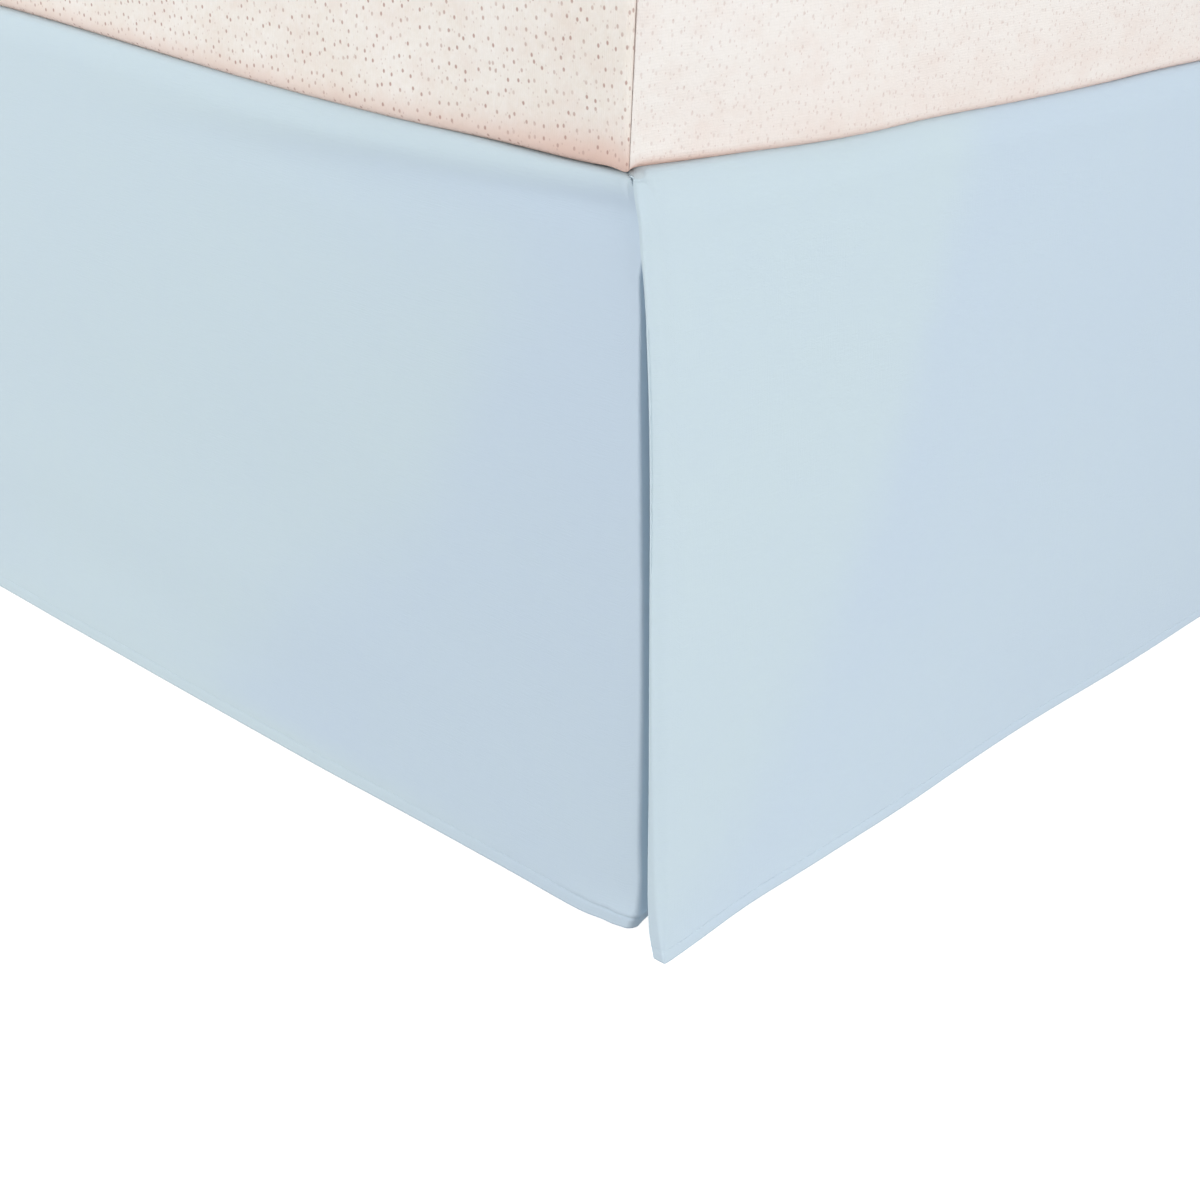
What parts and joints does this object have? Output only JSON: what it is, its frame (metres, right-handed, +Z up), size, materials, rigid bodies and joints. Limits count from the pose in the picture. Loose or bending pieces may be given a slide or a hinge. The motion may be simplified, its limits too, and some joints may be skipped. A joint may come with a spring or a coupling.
{
  "type": "bed skirt on a bed base with a mattress",
  "caption": "Tailored bed skirt: a flat deck with straight drops and pleated corners, hanging to just above the floor on a legged bed base, held under a mattress.",
  "frame": {"origin": "on the floor under the middle of the object's box", "axes": "+Y along the bed from foot to head, +X to the right of someone who looks from the foot to the head, +Z up"},
  "size_m": [1.6224, 2.0364, 0.6653],
  "materials": {
    "skirt_cloth": "pale blue, smooth plain weave, matte with a faint sheen",
    "mattress_knit": "cream knit with small pin dimples, matte",
    "base_fabric": "plain woven upholstery, matte",
    "leg_wood": "dark stained, satin"
  },
  "bodies": {
    "root": {"deck": "skirt_cloth", "foot_drop": "skirt_cloth", "side_drop_right": "skirt_cloth", "side_drop_left": "skirt_cloth", "mattress": "mattress_knit", "bed_base": "base_fabric", "leg_foot_left": "leg_wood", "leg_foot_right": "leg_wood", "leg_middle_left": "leg_wood", "leg_middle_right": "leg_wood", "leg_head_left": "leg_wood", "leg_head_right": "leg_wood"}
  },
  "joints": []
}
